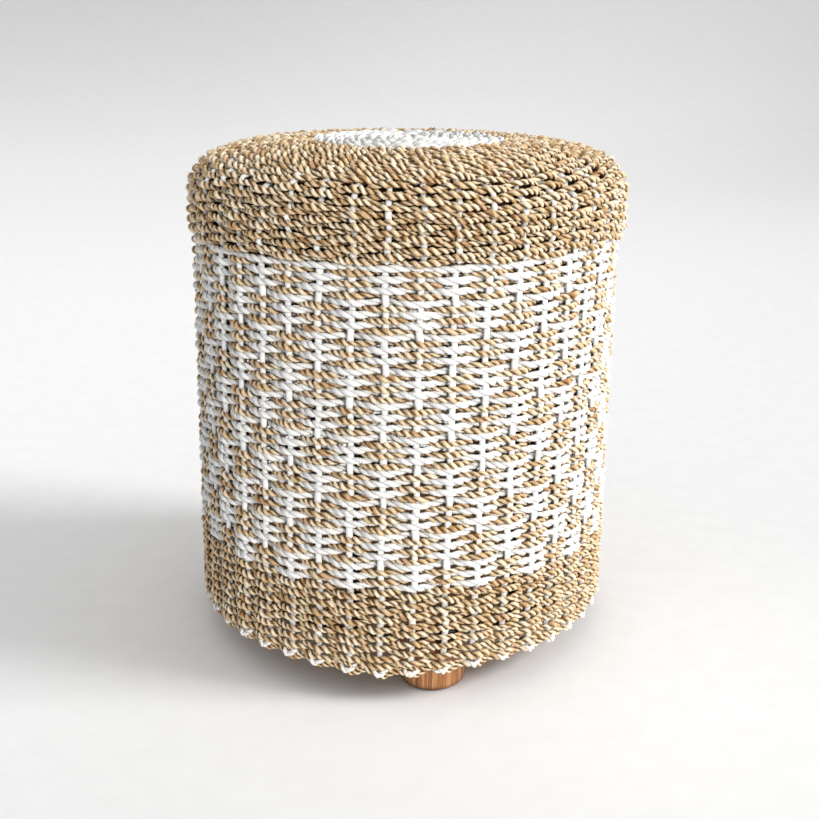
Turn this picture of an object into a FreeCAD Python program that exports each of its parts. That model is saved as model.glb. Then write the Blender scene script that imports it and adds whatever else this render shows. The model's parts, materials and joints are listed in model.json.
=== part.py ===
"""Round storage ottoman: woven rope wall on a steel rod frame, turned feet and a lift-off padded lid.

Millimetres. +Z is up, the origin is on the floor under the middle of the ottoman, and -Y is its front.
"""
import FreeCAD
import Part
import math
import os
import re

import Sketcher

SHEET = "Sizes"

# alias, value in millimetres (degrees where the alias says turn or angle), meaning
SIZES = (
    ("wall_radius", 190.0, "outside of the woven wall under the lid"),
    ("hem_radius", 194.0, "outside of the woven wall at its hem"),
    ("weave_depth", 13.0, "thickness of rope weave, from its inner to its outer face"),
    ("hem_base", 30.0, "height of the lowest edge of the weave"),
    ("hem_top", 40.0, "height where the braided hem meets the bottom band"),
    ("band_top", 105.0, "height where the plain bottom band meets the chequered wall"),
    ("wall_top", 370.0, "top of the woven wall, where the lid sits"),
    ("lid_radius", 194.5, "outside of the woven lid"),
    ("skirt_top", 404.0, "height where the lid starts to round over"),
    ("shoulder_radius", 38.0, "first arc of the lid's outline"),
    ("shoulder_turn", 72.0, "angle turned at the end of the first arc"),
    ("haunch_radius", 200.0, "second arc of the lid's outline"),
    ("haunch_turn", 86.5, "angle turned at the end of the second arc"),
    ("centre_radius", 84.0, "radius of the pale centre of the lid"),
    ("rod_diameter", 7.0, "steel rod of the frame"),
    ("bottom_hoop_radius", 176.5, "centre line of the bottom hoop"),
    ("bottom_hoop_height", 56.0, "height of the bottom hoop's centre line"),
    ("top_hoop_radius", 172.8, "centre line of the top hoop"),
    ("top_hoop_height", 359.5, "height of the top hoop's centre line"),
    ("weld_gap", 0.05, "space between rods that are tacked side by side"),
    ("foot_radius", 28.3, "turned foot"),
    ("foot_round", 4.0, "rounding of the foot's lower edge"),
    ("foot_chamfer", 1.0, "chamfer of the foot's upper edge"),
    ("foot_circle", 150.0, "distance from the middle to each foot"),
    ("foot_angle", -79.6, "direction of the front foot"),
    ("bar_depth", 4.0, "thickness of the flat cross bars"),
    ("bar_breadth", 25.0, "breadth of the flat cross bars"),
    ("board_depth", 12.0, "thickness of the plywood base and lid boards"),
    ("base_board_radius", 170.0, "plywood floor of the storage space"),
    ("bolt_radius", 4.0, "foot bolt"),
    ("bolt_head_radius", 8.0, "countersunk head of the foot bolt"),
    ("bolt_end", 14.0, "height of the foot bolt's lower end"),
    ("screw_radius", 2.0, "board screws"),
    ("screw_head_radius", 4.5, "heads of the board screws"),
    ("screw_head_depth", 2.5, "depth of the screw heads"),
    ("screw_length", 13.0, "board screw under its head"),
    ("screw_circle", 90.0, "distance from the middle to each base board screw"),
    ("hole_gap", 0.3, "clearance of bolts and screws in the pieces they pass through"),
    ("thread_gap", 0.1, "clearance of bolts and screws in the wood they bite"),
    ("rim_inner_radius", 166.5, "inside of the bound rim"),
    ("rim_gap", 0.5, "space between the bound rim and the wall"),
    ("lid_board_radius", 171.5, "plywood board of the lid"),
    ("lid_hoop_radius", 176.0, "centre line of the lid's hoop"),
    ("locating_radius", 163.5, "disc under the lid that drops inside the rim"),
    ("locating_depth", 10.0, "thickness of the locating disc"),
    ("locating_screw_circle", 120.0, "distance from the middle to each locating disc screw"),
    ("pad_gap", 0.3, "space between the lid's weave and the pad cover"),
    ("cover_depth", 1.0, "fabric cover of the seat pad"),
    ("cover_gap", 0.1, "space between the cover and the foam"),
)

FOOT_NAMES = ("front", "right", "back", "left")
UPRIGHT_COUNT = 8
LOCATING_SCREW_COUNT = 6
UP = FreeCAD.Vector(0, 0, 1)

doc = FreeCAD.newDocument("StorageOttoman")
sheet = doc.addObject("Spreadsheet::Sheet", SHEET)
for row, (alias, size, meaning) in enumerate(SIZES, start=1):
    sheet.set(f"A{row}", alias)
    sheet.set(f"B{row}", str(size))
    sheet.set(f"C{row}", meaning)
    sheet.setAlias(f"B{row}", alias)
doc.recompute()

subparts = []


# ---------------------------------------------------------------- expressions

def cells(text):
    """Turn every alias in an expression into a reference to its cell."""
    return re.sub(r"\b([a-z]+(?:_[a-z]+)+)\b", SHEET + r".\1", text)


def value(text):
    """Number that an expression over the sheet's aliases has now."""
    return float(sheet.evalExpression(cells(text)))


def bind(thing, **sizes):
    """Bind properties of an object to expressions over the sheet."""
    for name, text in sizes.items():
        thing.setExpression(name, cells(text))


def bind_height(thing, text):
    """Bind the height of an object's placement to the sheet."""
    thing.setExpression("Placement.Base.z", cells(text))


def keep(thing, label):
    """Name a sub-part and list it for export."""
    thing.Label = label
    subparts.append(thing)
    return thing


def around(radius, angle, height):
    """Point at a radius, an angle in degrees from +X, and a height."""
    turn = math.radians(angle)
    return FreeCAD.Vector(radius * math.cos(turn), radius * math.sin(turn), height)


def foot_angle(number):
    """Direction of one foot in degrees from +X; the feet stand a quarter turn apart."""
    return value("foot_angle") + 90.0 * number


# ---------------------------------------------------------------- sketches and bodies

def new_body(name):
    """Empty PartDesign body."""
    return doc.addObject("PartDesign::Body", name)


def new_sketch(body, role, name):
    """Sketch on one of the body's own origin planes."""
    plane = next(f for f in body.Origin.OriginFeatures if f.Role == role)
    sketch = body.newObject("Sketcher::SketchObject", name)
    sketch.AttachmentSupport = [(plane, "")]
    sketch.MapMode = "FlatFace"
    return sketch


def constrain(sketch, name, expression, *definition):
    """Add a dimension to a sketch and bind it to the sheet."""
    index = sketch.addConstraint(Sketcher.Constraint(*definition, value(expression)))
    sketch.renameConstraint(index, name)
    sketch.setExpression("Constraints." + name, cells(expression))


def arc_centre(start, end, radius):
    """Centre of an arc: left of the way from start to end if the radius is positive, else right."""
    chord = end - start
    middle = (start + end) * 0.5
    rise = math.sqrt(radius ** 2 - chord.Length ** 2 / 4)
    normal = FreeCAD.Vector(-chord.y, chord.x, 0).normalize()
    return middle + normal * math.copysign(rise, radius)


def add_edge(sketch, start, end, radius):
    """Add one edge of an outline; return its index and which of its ends come first and last."""
    if radius is None:
        return sketch.addGeometry(Part.LineSegment(start, end), False), 1, 2
    sign, size = radius
    centre = arc_centre(start, end, sign * value(size))
    first, last = (start, end) if sign > 0 else (end, start)
    begin = math.atan2(first.y - centre.y, first.x - centre.x)
    finish = math.atan2(last.y - centre.y, last.x - centre.x)
    circle = Part.Circle(centre, UP, value(size))
    index = sketch.addGeometry(Part.ArcOfCircle(circle, begin, finish), False)
    return (index, 1, 2) if sign > 0 else (index, 2, 1)


def add_outline(sketch, corners):
    """Closed outline from corners (across, height, radius): radius is None for a straight edge to
    the next corner, else a sign (which side its centre lies on) and an expression."""
    points = [FreeCAD.Vector(value(across), value(height), 0) for across, height, _ in corners]
    edges = []
    for number, (_, _, radius) in enumerate(corners):
        after = (number + 1) % len(corners)
        edges.append(add_edge(sketch, points[number], points[after], radius))
    for number, (index, first, last) in enumerate(edges):
        following, its_first, _ = edges[(number + 1) % len(edges)]
        sketch.addConstraint(Sketcher.Constraint("Coincident", index, last, following, its_first))
        across, height, radius = corners[number]
        if value(across) == 0:
            sketch.addConstraint(Sketcher.Constraint("PointOnObject", index, first, -2))
        else:
            constrain(sketch, f"across_{number}", across, "DistanceX", -1, 1, index, first)
        if value(height) == 0:
            sketch.addConstraint(Sketcher.Constraint("PointOnObject", index, first, -1))
        else:
            constrain(sketch, f"height_{number}", height, "DistanceY", -1, 1, index, first)
        if radius is not None:
            constrain(sketch, f"radius_{number}", radius[1], "Radius", index)


def turned_body(label, corners):
    """Body revolved about the vertical axis from an outline of corners (radius, height, arc)."""
    body = new_body(label)
    sketch = new_sketch(body, "XZ_Plane", label + "_outline")
    add_outline(sketch, corners)
    turned = body.newObject("PartDesign::Revolution", label + "_turned")
    turned.Profile = sketch
    turned.ReferenceAxis = (sketch, ["V_Axis"])
    turned.Angle = 360.0
    sketch.Visibility = False
    return keep(body, label)


# ---------------------------------------------------------------- primitives

def cylinder(name, radius, depth, place):
    """Part cylinder whose radius and height are bound to the sheet."""
    shape = doc.addObject("Part::Cylinder", name)
    bind(shape, Radius=radius, Height=depth)
    shape.Placement = place
    return shape


def cone(name, lower, upper, depth, place):
    """Part cone whose radii and height are bound to the sheet."""
    shape = doc.addObject("Part::Cone", name)
    bind(shape, Radius1=lower, Radius2=upper, Height=depth)
    shape.Placement = place
    return shape


def hoop(label, radius, height):
    """Ring of steel rod."""
    ring = doc.addObject("Part::Torus", label)
    bind(ring, Radius1=radius, Radius2="rod_diameter / 2")
    bind_height(ring, height)
    return keep(ring, label)


def fuse(name, pieces):
    """Fuse of several shapes."""
    joined = doc.addObject("Part::MultiFuse", name)
    joined.Shapes = pieces
    return joined


def cut(name, base, tool):
    """Base shape with the tool taken away."""
    result = doc.addObject("Part::Cut", name)
    result.Base = base
    result.Tool = tool
    return result


def upright_place(point):
    """Placement that stands a shape upright at a point."""
    return FreeCAD.Placement(point, FreeCAD.Rotation())


def group(label, pieces):
    """Identical fasteners kept together as separate solids."""
    bundle = doc.addObject("Part::Compound", label)
    bundle.Links = pieces
    return keep(bundle, label)


# ---------------------------------------------------------------- feet

FOOT_HEIGHT = "bottom_hoop_height - rod_diameter / 2 - bar_depth"


def make_foot(number, name):
    """Turned hardwood foot with a rounded lower edge and a hole for its bolt."""
    socket = "bolt_radius + thread_gap"
    foot = turned_body("foot_" + name, (
        ("0", "0", None),
        ("foot_radius - foot_round", "0", (1, "foot_round")),
        ("foot_radius", "foot_round", None),
        ("foot_radius", FOOT_HEIGHT + " - foot_chamfer", None),
        ("foot_radius - foot_chamfer", FOOT_HEIGHT, None),
        (socket, FOOT_HEIGHT, None),
        (socket, "bolt_end - 2 * thread_gap", None),
        ("0", "bolt_end - 2 * thread_gap", None),
    ))
    angle = foot_angle(number)
    foot.Placement = FreeCAD.Placement(around(value("foot_circle"), angle, 0),
                                       FreeCAD.Rotation(UP, angle))


# ---------------------------------------------------------------- floor of the storage space

BOARD_BASE = "bottom_hoop_height - rod_diameter / 2"
BOARD_TOP = BOARD_BASE + " + board_depth"


def foot_bolt(number, name, gap):
    """Countersunk bolt through the base board and a cross bar into a foot."""
    place = value("foot_circle")
    head_depth = "(bolt_head_radius - bolt_radius)"
    head_base = value(f"{BOARD_TOP} - {head_depth}")
    angle = foot_angle(number)
    shank = cylinder(name + "_shank", f"bolt_radius + {gap}", f"{BOARD_TOP} - {head_depth} - bolt_end",
                     upright_place(around(place, angle, value("bolt_end"))))
    head = cone(name + "_head", f"bolt_radius + {gap}", f"bolt_head_radius + {gap}", head_depth,
                upright_place(around(place, angle, head_base)))
    return fuse(name, [shank, head])


def board_screw(number, name, gap):
    """Screw from under a cross bar up into the base board."""
    under = value(BOARD_BASE + " - bar_depth")
    place = value("screw_circle")
    angle = foot_angle(number)
    head = cylinder(name + "_head", "screw_head_radius", "screw_head_depth",
                    upright_place(around(place, angle, under - value("screw_head_depth"))))
    shank = cylinder(name + "_shank", f"screw_radius + {gap}", f"screw_length + {gap}",
                     upright_place(around(place, angle, under)))
    return fuse(name, [head, shank])


def make_base_board():
    """Plywood floor, bored for the foot bolts and the screws from below."""
    disc = cylinder("base_disc", "base_board_radius", "board_depth",
                    upright_place(FreeCAD.Vector(0, 0, value(BOARD_BASE))))
    bores = [foot_bolt(n, f"bolt_bore_{n}", "hole_gap") for n in range(len(FOOT_NAMES))]
    bores += [board_screw(n, f"screw_bore_{n}", "thread_gap") for n in range(len(FOOT_NAMES))]
    keep(cut("base_board", disc, fuse("base_board_bores", bores)), "base_board")


def rectangle(sketch, half_length, half_breadth):
    """Centred rectangle on a sketch."""
    left, right = f"0 - ({half_length})", half_length
    low, high = f"0 - ({half_breadth})", half_breadth
    add_outline(sketch, ((left, low, None), (right, low, None), (right, high, None), (left, high, None)))


def make_cross_bar(label, angle, notch_is_up):
    """Flat steel bar across the bottom hoop, halved where the two bars cross, bored for its fixings."""
    body = new_body(label)
    outline = new_sketch(body, "XY_Plane", label + "_outline")
    rectangle(outline, "bottom_hoop_radius", "bar_breadth / 2")
    bar = body.newObject("PartDesign::Pad", label + "_bar")
    bar.Profile = outline
    bind(bar, Length="bar_depth")
    doc.recompute()
    whole = bar.Shape.Volume

    lap = new_sketch(body, "XY_Plane", label + "_lap")
    rectangle(lap, "bar_breadth / 2 + hole_gap", "bar_breadth / 2 + hole_gap")
    if notch_is_up:
        bind(lap, **{"AttachmentOffset.Base.z": "bar_depth / 2"})
    halved = body.newObject("PartDesign::Pocket", label + "_halved")
    halved.Profile = lap
    halved.Reversed = True
    bind(halved, Length="bar_depth / 2")
    doc.recompute()
    assert halved.Shape.Volume < whole - 100, label + " lap cuts nothing"

    holes = new_sketch(body, "XY_Plane", label + "_holes")
    drilled = (("foot_circle", "bolt_radius + hole_gap"), ("screw_circle", "screw_radius + hole_gap"))
    for number, (distance, radius) in enumerate(drilled):
        for side, sign in enumerate((1, -1)):
            centre = FreeCAD.Vector(sign * value(distance), 0, 0)
            index = holes.addGeometry(Part.Circle(centre, UP, value(radius)), False)
            constrain(holes, f"size_{number}_{side}", radius, "Radius", index)
            signed = distance if sign > 0 else "0 - " + distance
            constrain(holes, f"place_{number}_{side}", signed, "DistanceX", -1, 1, index, 3)
            holes.addConstraint(Sketcher.Constraint("PointOnObject", index, 3, -1))
    bored = body.newObject("PartDesign::Pocket", label + "_bored")
    bored.Profile = holes
    bored.Type = "ThroughAll"
    bored.Midplane = True
    body.Tip = bored
    doc.recompute()
    assert bored.Shape.Volume < halved.Shape.Volume - 100, label + " holes cut nothing"
    for sketch in (outline, lap, holes):
        sketch.Visibility = False
    body.Placement = FreeCAD.Placement(FreeCAD.Vector(0, 0, value(BOARD_BASE + " - bar_depth")),
                                       FreeCAD.Rotation(UP, angle))
    keep(body, label)


# ---------------------------------------------------------------- rod frame

def make_upright(number, lower_hoop, upper_hoop):
    """Rod between the bottom and top hoops, its ends coped to sit against them."""
    angle = foot_angle(0) + 360.0 * (number + 0.5) / UPRIGHT_COUNT
    foot = around(value("bottom_hoop_radius"), angle, value("bottom_hoop_height"))
    head = around(value("top_hoop_radius"), angle, value("top_hoop_height"))
    way = head - foot
    name = f"upright_{number + 1}"
    rod = doc.addObject("Part::Cylinder", name + "_rod")
    bind(rod, Radius="rod_diameter / 2",
         Height="sqrt((top_hoop_height - bottom_hoop_height)^2 + (bottom_hoop_radius - top_hoop_radius)^2)")
    rod.Placement = FreeCAD.Placement(foot, FreeCAD.Rotation(UP, way))
    keep(cut(name, rod, fuse(name + "_cope", [lower_hoop, upper_hoop])), name)


# ---------------------------------------------------------------- woven wall

def wall_face(height, inset):
    """Radius of the wall at a height, as an expression: it flares evenly towards the hem."""
    slope = "(hem_radius - wall_radius) / (wall_top - hem_base)"
    return f"wall_radius + {slope} * (wall_top - ({height})) - {inset}"


def make_wall_band(label, low, high):
    """One zone of the woven wall."""
    turned_body(label, (
        (wall_face(low, "weave_depth"), low, None),
        (wall_face(low, "0"), low, None),
        (wall_face(high, "0"), high, None),
        (wall_face(high, "weave_depth"), high, None),
    ))


def make_hem():
    """Braided hem with a rounded lower edge."""
    roll = "weave_depth / 2"
    middle = "hem_radius - weave_depth / 2"
    turned_body("hem_border", (
        (middle, "hem_base", (1, roll)),
        (wall_face("hem_base + weave_depth / 2", "0"), "hem_base + weave_depth / 2", None),
        (wall_face("hem_top", "0"), "hem_top", None),
        (wall_face("hem_top", "weave_depth"), "hem_top", None),
        (wall_face("hem_base + weave_depth / 2", "weave_depth"), "hem_base + weave_depth / 2", (1, roll)),
    ))


def make_rim_binding():
    """Rope binding that covers the top hoop, inside the wall."""
    outer = "wall_radius - weave_depth - rim_gap"
    low = "top_hoop_height + rod_diameter / 2"
    turned_body("rim_binding", (
        ("rim_inner_radius", low, None),
        (outer, low, None),
        (outer, "wall_top", None),
        ("rim_inner_radius", "wall_top", None),
    ))


# ---------------------------------------------------------------- lid

LID_BOARD_TOP = "wall_top + board_depth"


def lid_outline(inset):
    """Corners of the lid's rounded outline from its skirt to its crown, moved in by an inset.

    Three arcs follow each other without a kink: shoulder, haunch and crown. Each corner is a
    radius, a height and the size of the arc that starts there.
    """
    side = f"(lid_radius - {inset})"
    shoulder = f"(shoulder_radius - {inset})"
    haunch = f"(haunch_radius - {inset})"
    shoulder_end = (f"{side} - {shoulder} * (1 - cos(shoulder_turn))",
                    f"skirt_top + {shoulder} * sin(shoulder_turn)")
    haunch_end = (f"{shoulder_end[0]} - {haunch} * (cos(shoulder_turn) - cos(haunch_turn))",
                  f"{shoulder_end[1]} + {haunch} * (sin(haunch_turn) - sin(shoulder_turn))")
    crown = f"(({haunch_end[0]}) / cos(haunch_turn))"
    return ((side, "skirt_top", shoulder), (*shoulder_end, haunch), (*haunch_end, crown))


def crown_height(across, inset):
    """Height of the crown arc at a distance from the middle, as an expression."""
    last_across, last_height, crown = lid_outline(inset)[-1]
    centre = f"({last_height} - {crown} * sin(haunch_turn))"
    return f"{centre} + sqrt({crown}^2 - ({across})^2)"


def shell_corners(outer, inner, low, reach):
    """Outline of a lid shell between two insets, from a height over the crown to a reach."""
    rising = [(across, height, (1, arc)) for across, height, arc in lid_outline(outer)]
    falling = lid_outline(inner)
    corners = rising + [(reach, crown_height(reach, outer), None)]
    corners.append((reach, crown_height(reach, inner), (-1, falling[2][2])))
    corners.append((*falling[2][:2], (-1, falling[1][2])))
    corners.append((*falling[1][:2], (-1, falling[0][2])))
    corners.append((*falling[0][:2], None))
    if low is not None:
        corners.append((falling[0][0], low, None))
        corners.append((rising[0][0], low, None))
    return corners


def make_lid_weave():
    """Woven skirt, rounded crown and pale centre of the lid."""
    turned_body("lid_skirt", (
        ("lid_radius - weave_depth", "wall_top", None),
        ("lid_radius", "wall_top", None),
        ("lid_radius", "skirt_top", None),
        ("lid_radius - weave_depth", "skirt_top", None),
    ))
    turned_body("lid_crown", shell_corners("0", "weave_depth", None, "centre_radius"))
    outer_arc = lid_outline("0")[-1][2]
    inner_arc = lid_outline("weave_depth")[-1][2]
    turned_body("lid_centre", (
        ("0", crown_height("0", "weave_depth"), None),
        ("0", crown_height("0", "0"), (-1, outer_arc)),
        ("centre_radius", crown_height("centre_radius", "0"), None),
        ("centre_radius", crown_height("centre_radius", "weave_depth"), (1, inner_arc)),
    ))


def make_seat_pad():
    """Foam dome on the lid board, with its fabric cover."""
    outer = "(weave_depth + pad_gap)"
    inner = "(weave_depth + pad_gap + cover_depth)"
    foam = "(weave_depth + pad_gap + cover_depth + cover_gap)"
    turned_body("pad_cover", shell_corners(outer, inner, LID_BOARD_TOP, "0"))
    rising = [(across, height, (1, arc)) for across, height, arc in lid_outline(foam)]
    turned_body("seat_pad", [("0", LID_BOARD_TOP, None), (rising[0][0], LID_BOARD_TOP, None)]
                + rising + [("0", crown_height("0", foam), None)])


def locating_screw(number, name, gap):
    """Countersunk screw from under the locating disc up into the lid board."""
    angle = 360.0 * number / LOCATING_SCREW_COUNT
    low = value("wall_top - locating_depth")
    place = value("locating_screw_circle")
    head = cone(name + "_head", f"screw_head_radius + {gap}", f"screw_radius + {gap}", "screw_head_depth",
                upright_place(around(place, angle, low)))
    shank = cylinder(name + "_shank", f"screw_radius + {gap}", f"screw_length + {gap}",
                     upright_place(around(place, angle, low + value("screw_head_depth"))))
    return fuse(name, [head, shank])


def make_lid_boards():
    """Plywood lid board, and the smaller disc under it that drops inside the rim."""
    numbers = range(LOCATING_SCREW_COUNT)
    for label, radius, depth, low in (
            ("lid_board", "lid_board_radius", "board_depth", "wall_top"),
            ("locating_disc", "locating_radius", "locating_depth", "wall_top - locating_depth")):
        disc = cylinder(label + "_disc", radius, depth,
                        upright_place(FreeCAD.Vector(0, 0, value(low))))
        bores = [locating_screw(n, f"{label}_bore_{n}", "thread_gap") for n in numbers]
        keep(cut(label, disc, fuse(label + "_bores", bores)), label)
    group("locating_screws", [locating_screw(n, f"locating_screw_{n}", "0") for n in numbers])


# ---------------------------------------------------------------- assembly

for number, name in enumerate(FOOT_NAMES):
    make_foot(number, name)
make_base_board()
group("foot_bolts", [foot_bolt(n, f"foot_bolt_{n}", "0") for n in range(len(FOOT_NAMES))])
group("board_screws", [board_screw(n, f"board_screw_{n}", "0") for n in range(len(FOOT_NAMES))])
make_cross_bar("cross_bar_lower", foot_angle(0), True)
make_cross_bar("cross_bar_upper", foot_angle(1), False)

bottom_hoop = hoop("bottom_hoop", "bottom_hoop_radius", "bottom_hoop_height")
top_hoop = hoop("top_hoop", "top_hoop_radius", "top_hoop_height")
hoop("middle_hoop", "(bottom_hoop_radius + top_hoop_radius) / 2 - rod_diameter - weld_gap",
     "(bottom_hoop_height + top_hoop_height) / 2")
for number in range(UPRIGHT_COUNT):
    make_upright(number, bottom_hoop, top_hoop)

make_hem()
make_wall_band("bottom_band", "hem_top", "band_top")
make_wall_band("chequered_wall", "band_top", "wall_top")
make_rim_binding()

make_lid_boards()
hoop("lid_hoop", "lid_hoop_radius", "wall_top + board_depth / 2")
make_seat_pad()
make_lid_weave()

doc.recompute()

for thing in doc.Objects:
    states = set(thing.State)
    assert not states & {"Invalid", "Error"}, f"{thing.Label}: {sorted(states)}"

os.makedirs("parts", exist_ok=True)
for part in subparts:
    shape = part.Shape
    assert not shape.isNull() and shape.isValid(), part.Label + " has no valid shape"
    shape.exportStep(os.path.join("parts", part.Label + ".step"))
    print(f"{part.Label:18s} {len(shape.Solids)} solid(s) {shape.Volume / 1000:9.1f} cm3")
print(len(subparts), "sub-parts")
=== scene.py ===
"""Looks of the woven storage ottoman: twisted rope weave, lid, frame finishes and studio, in metres."""
import json
import math

import bpy
import numpy as np
from mathutils import Matrix, Vector


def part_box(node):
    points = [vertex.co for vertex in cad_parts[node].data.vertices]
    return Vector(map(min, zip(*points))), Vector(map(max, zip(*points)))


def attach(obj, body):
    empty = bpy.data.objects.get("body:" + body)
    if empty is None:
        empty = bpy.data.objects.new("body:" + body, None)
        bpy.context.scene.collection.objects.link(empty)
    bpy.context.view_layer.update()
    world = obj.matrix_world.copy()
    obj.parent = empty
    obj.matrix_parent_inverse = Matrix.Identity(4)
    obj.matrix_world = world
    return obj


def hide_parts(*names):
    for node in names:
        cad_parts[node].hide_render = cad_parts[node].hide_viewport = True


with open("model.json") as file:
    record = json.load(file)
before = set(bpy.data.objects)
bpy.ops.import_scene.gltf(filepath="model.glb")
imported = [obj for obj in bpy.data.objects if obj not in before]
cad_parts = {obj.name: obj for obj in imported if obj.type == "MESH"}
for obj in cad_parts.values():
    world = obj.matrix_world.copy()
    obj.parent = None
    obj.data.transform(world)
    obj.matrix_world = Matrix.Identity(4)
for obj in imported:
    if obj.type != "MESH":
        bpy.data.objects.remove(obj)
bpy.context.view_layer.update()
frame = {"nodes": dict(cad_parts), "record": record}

MM = 0.001
TURN = 2.0 * math.pi

# ---------------------------------------------------------------- sizes read from the frame


def node_radius(node, height):
    """Largest distance from the axis of a CAD node's corners at a height."""
    corners = np.array([v.co for v in frame["nodes"][node].data.vertices])
    level = corners[np.abs(corners[:, 2] - height) < 0.5 * MM]
    return float(np.hypot(level[:, 0], level[:, 1]).max())


WALL_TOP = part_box("chequered_wall")[1].z
BAND_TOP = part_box("chequered_wall")[0].z
HEM_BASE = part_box("hem_border")[0].z
HEM_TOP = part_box("hem_border")[1].z
WALL_RADIUS = node_radius("chequered_wall", WALL_TOP)
HEM_RADIUS = node_radius("bottom_band", HEM_TOP)
LID_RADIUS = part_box("lid_skirt")[1].x
SKIRT_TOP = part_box("lid_skirt")[1].z
CENTRE_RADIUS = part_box("lid_centre")[1].x
RIM_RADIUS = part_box("rim_binding")[1].x
RIM_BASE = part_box("rim_binding")[0].z
RIM_INNER = RIM_RADIUS - 10.0 * MM
RIM_ROPES = (2.6 * MM, 7.5 * MM)     # distances of the rim's two ropes from its inner edge

SHOULDER_ARC = (38.0 * MM, 72.0)     # radius, and angle turned at its end, of the lid's first arc
HAUNCH_ARC = (200.0 * MM, 86.5)      # the same of its second arc; a third one ends on the axis

# ---------------------------------------------------------------- sizes of the weave

STAKE_COUNT = 44                     # upright ropes around the wall and the lid
FIRST_STAKE = math.radians(-4.5)     # angle of one stake from the front
STAKE_LEAN = math.radians(-1.1)      # how far a stake turns from the rim down to the hem
WIDE_SPACING = 26.0 * MM             # where stakes stand closer than this, wefts wave less
WEAVE_INSET = 6.3 * MM               # outer face of the weave to the middle of the stakes
OVER = 3.4 * MM                      # how far a weft rope stands out where it passes over a stake
UNDER = 4.8 * MM                     # how far it dives where it passes behind one
STAKE_HALF_WIDTH = 2.8 * MM
STAKE_HALF_DEPTH = 1.9 * MM
STAKE_OUT = 1.2 * MM                 # stakes lie a little outside the middle of the weave
STAKE_RIPPLE = 0.9 * MM              # how far they bend between the rows of a plain weave
STAKE_SINK = 5.5 * MM                # how much deeper they lie where stakes stand close together
WALL_SHIFT = 2.0 * MM                # the woven wall leans a little to the right
LID_SHIFT = 3.5 * MM                 # and the woven lid sits a little further

BLOCK_ROWS = 6                       # rows before the chequer changes over
CHEQUER_ROWS = 59
BLOCK_GAP = 0.95 * MM                # extra room between two blocks of rows
ROWS_PER_PIECE = 12                  # chequer rows kept in one mesh
FIRST_ROW_WAVE = 1.8 * MM            # the row right under the lid lies nearly flat on the stakes
FIRST_ROW_LIFT = 1.6 * MM
CHEQUER_RISE = OVER - 0.5 * MM       # natural ropes of the chequer stand out a little less
WEFT_WANDER = 0.45 * MM              # how far a row wanders up and down between stakes

BAND_ROWS = 17
BAND_ROWS_PER_PIECE = 9
BAND_BOTTOM = HEM_TOP - 5.5 * MM     # the band's rows go on a little behind the hem
BAND_WANDER = 1.05 * MM
BAND_STAKE_HIDE = 2.2 * MM           # how far stakes slip in between the band's rows

LID_PIECES = 6
LID_ROW_PITCH = 4.35 * MM
LID_FIRST_ROW = 2.4 * MM             # the rows begin this far above the lid's lower edge
LID_RISE = 2.9 * MM
LID_DIVE = 4.2 * MM
LID_WANDER = 0.75 * MM
LID_STAKE_HALF_WIDTH = 2.3 * MM
LID_STAKE_HIDE = 4.2 * MM
CENTRE_PITCH = 4.6 * MM
CENTRE_RISE = 2.4 * MM
CENTRE_DIVE = 2.8 * MM
CENTRE_SPOKES = ((CENTRE_RADIUS, 22), (40.0 * MM, 12), (14.0 * MM, 6))   # outer radius, number of stakes
SPOKE_HALF_WIDTH = 2.0 * MM

HEM_SLACK = 8.0 * MM                 # length of the wall's outline below the hem
EDGING_STRANDS = ((1.6 * MM, 2.6 * MM, 0.9), (5.8 * MM, 0.8 * MM, 2.2))   # height, how far out, delay
EDGING_SWING = 2.4 * MM              # how far the edging swings up and down between stakes
EDGING_SWAY = 1.3 * MM               # and in and out
EDGING_SLACK = 1.06                  # its length for one metre of hem
SAG = 5.5 * MM                       # the hem hangs lower at the front
SAG_CENTRE = math.radians(-5.0)
SAG_WIDTH = math.radians(17.0)
SAG_REACH = 40.0 * MM                # height over which the sag fades out upwards

SEED = 11


class RopeKind:
    """Sizes of one kind of two-ply rope."""

    def __init__(self, ply_radius, reach, pitch, uneven, pinch, loose, belly, sides=7):
        self.ply_radius = ply_radius     # of one ply
        self.reach = reach               # rope's axis to a ply's axis
        self.pitch = pitch               # length of one full turn of the plies
        self.uneven = uneven             # share by which thickness varies
        self.pinch = pinch               # share by which it thins where it dives behind a stake
        self.loose = loose               # how far the twist wanders, in radians
        self.belly = belly               # share by which a ply is thicker on the rope's outer face
        self.sides = sides               # of a ply's section; an open rope needs an even number
        self.plies = 2
        self.steps_per_turn = 8
        self.flatten = 1.15              # a slanting ply is wider along the rope's section


LID_SEAGRASS = RopeKind(1.37 * MM, 1.02 * MM, 13.4 * MM, 0.28, 0.20, 1.4, 0.28)
BAND_SEAGRASS = RopeKind(1.41 * MM, 1.03 * MM, 13.6 * MM, 0.28, 0.18, 1.4, 0.28)
CHEQUER_SEAGRASS = RopeKind(1.46 * MM, 1.00 * MM, 14.4 * MM, 0.25, 0.16, 1.2, 0.24)
WHITE = RopeKind(2.00 * MM, 1.15 * MM, 20.0 * MM, 0.14, 0.04, 0.8, 0.08)
STAKE_END = RopeKind(1.55 * MM, 1.00 * MM, 10.0 * MM, 0.14, 0.0, 0.3, 0.1, sides=8)
EDGING = RopeKind(1.25 * MM, 1.00 * MM, 11.5 * MM, 0.16, 0.0, 0.6, 0.1)


# ---------------------------------------------------------------- smooth noise

def rings_of(values, turn):
    """Values given at even steps around a circle, read smoothly at angles."""
    count = len(values)
    place = (np.asarray(turn) / TURN * count) % count
    low = np.floor(place).astype(int) % count
    share = place - np.floor(place)
    share = share * share * (3.0 - 2.0 * share)
    return values[low] * (1.0 - share) + values[(low + 1) % count] * share


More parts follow.
